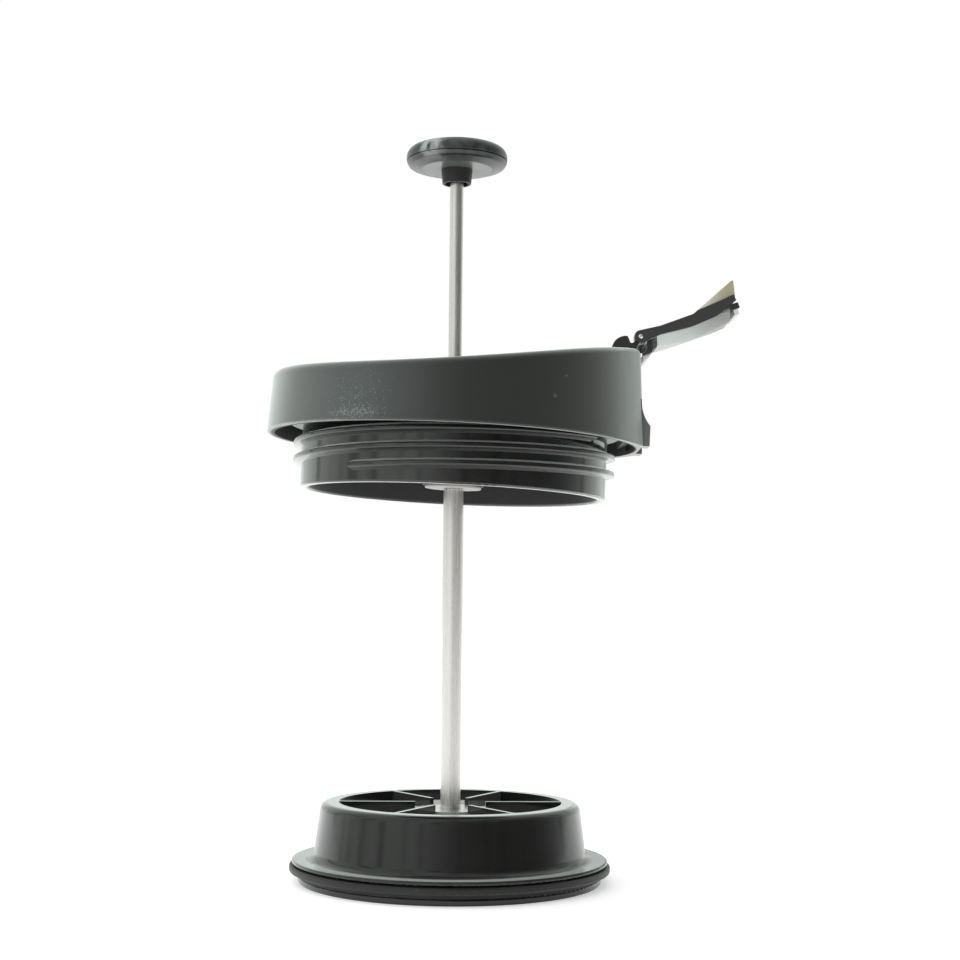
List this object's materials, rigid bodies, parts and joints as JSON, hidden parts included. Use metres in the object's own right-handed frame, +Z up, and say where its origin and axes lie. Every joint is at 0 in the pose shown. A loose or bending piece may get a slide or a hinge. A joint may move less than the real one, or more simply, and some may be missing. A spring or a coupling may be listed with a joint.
{
  "type": "french press lid and plunger",
  "caption": "Lid and plunger of a french press: ribbed filter with a lipped gasket on a steel rod, threaded lid with a hinged spout cover, and a flat round knob.",
  "frame": {"origin": "centre of the filter's underside, on the rod's axis, where it stands on the table", "axes": "+Z up along the rod, +X towards the spout, -Y towards the front"},
  "size_m": [0.1397, 0.1118, 0.2195],
  "materials": {
    "shell_black": "fine matte texture",
    "gloss_black": "glossy moulded",
    "steel": "bright polished stainless",
    "mesh_steel": "woven stainless",
    "rubber_black": "satin silicone",
    "silicone_pale": "satin silicone",
    "bush_grey": "matte moulded",
    "brass": "turned"
  },
  "bodies": {
    "plunger": {"filter_frame": "gloss_black", "filter_gasket": "rubber_black", "filter_mesh": "mesh_steel", "filter_retainer": "gloss_black", "retainer_nut": "steel", "hub_washer": "steel", "hub_nut": "steel", "plunger_rod": "steel", "rod_sleeve": "steel", "knob_base": "gloss_black", "knob_cap": "gloss_black", "knob_insert": "brass", "knob_collar": "gloss_black"},
    "seal": {"rod_seal": "rubber_black"},
    "guide": {"rod_bush": "bush_grey", "bush_clip": "steel"},
    "lid": {"lid_shell": "shell_black", "lid_deck": "shell_black", "spout_housing": "shell_black", "lid_plug": "gloss_black", "plug_seal": "silicone_pale", "lid_gasket": "silicone_pale", "spout_grommet": "silicone_pale", "hinge_pin": "steel"},
    "cover": {"spout_cover": "shell_black", "cover_pad": "silicone_pale"}
  },
  "joints": [
    {"name": "lid_slide", "type": "slide", "parent": "plunger", "child": "seal", "axis": [0, 0, 1], "range_m": [0, 0.0665]},
    {"name": "lid_rock", "type": "hinge", "parent": "seal", "child": "guide", "pos_m": [0, 0, 0.12337], "axis": [0, 1, 0], "range_deg": [-4, 0]},
    {"name": "lid_spin", "type": "hinge", "parent": "guide", "child": "lid", "pos_m": [0, 0, 0.12337], "axis": [0.0349, 0, 0.9994], "continuous": true},
    {"name": "cover_hinge", "type": "hinge", "parent": "lid", "child": "cover", "pos_m": [0.05441, 0, 0.16152], "axis": [0, 1, 0], "range_deg": [-35, 101]}
  ]
}
